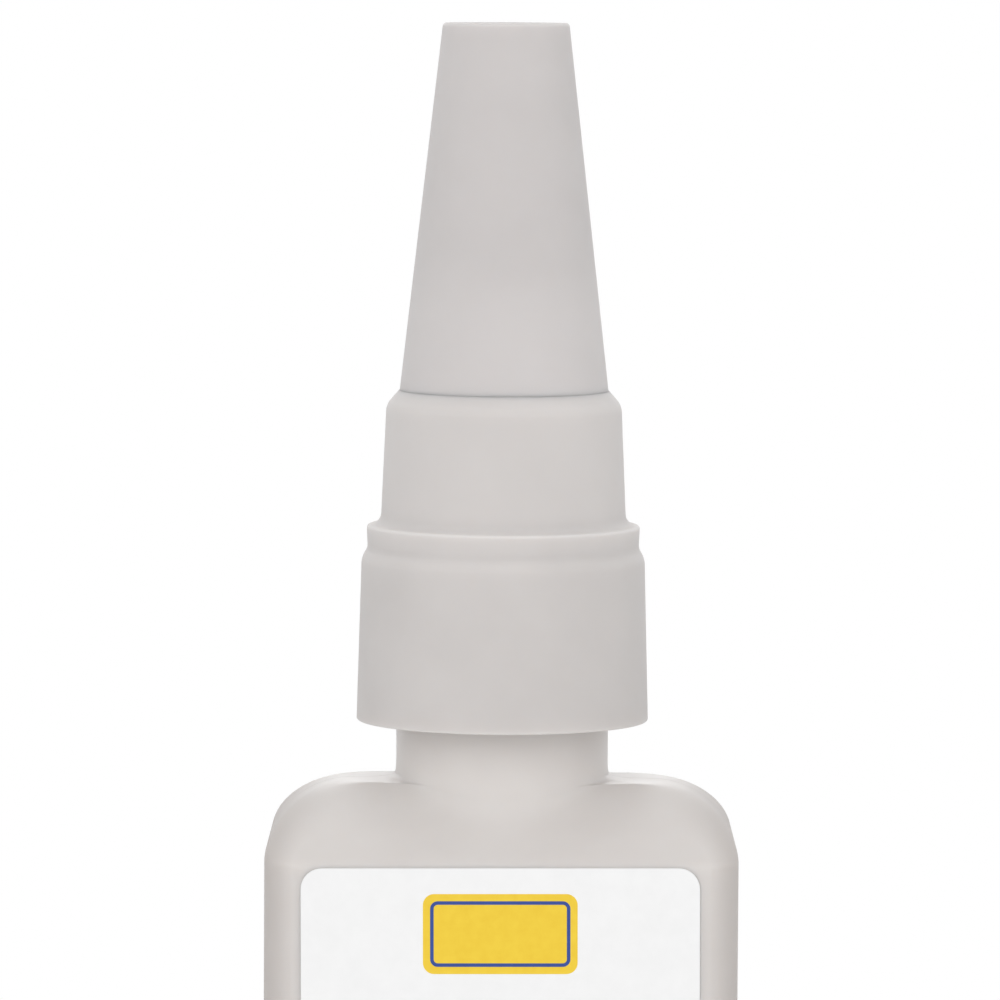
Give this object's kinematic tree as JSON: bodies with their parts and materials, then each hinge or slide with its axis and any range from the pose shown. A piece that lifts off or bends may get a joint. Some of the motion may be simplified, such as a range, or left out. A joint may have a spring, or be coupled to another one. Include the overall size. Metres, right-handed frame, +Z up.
{
  "type": "glue bottle",
  "caption": "Flat squeeze bottle with rounded shoulders, a stepped screw-on nozzle hiding a tapered spout, and a tall conical push-on overcap, for dispensing liquid adhesive.",
  "frame": {"origin": "middle of the foot, on the plane the bottle stands on", "axes": "+Z up along the neck, -Y out of the label, +X to the right seen from the label side"},
  "size_m": [0.0296, 0.0201, 0.1073],
  "materials": {
    "bottle_plastic": "natural translucent, satin",
    "liquid": "clear liquid",
    "label_film": "white satin film",
    "nozzle_plastic": "natural translucent, satin",
    "overcap_plastic": "natural translucent, satin",
    "pin_steel": "bright drawn wire"
  },
  "bodies": {
    "bottle": {"bottle": "bottle_plastic", "adhesive": "liquid", "front_label": "label_film"},
    "nozzle": {"nozzle": "nozzle_plastic"},
    "overcap": {"overcap": "overcap_plastic", "anti_clog_pin": "pin_steel"}
  },
  "joints": [
    {"name": "nozzle_lift", "type": "slide", "parent": "bottle", "child": "nozzle", "axis": [0, 0, 1], "range_m": [0, 0.013]},
    {"name": "cap_pull", "type": "slide", "parent": "nozzle", "child": "overcap", "axis": [0, 0, 1], "range_m": [0, 0.026]}
  ]
}
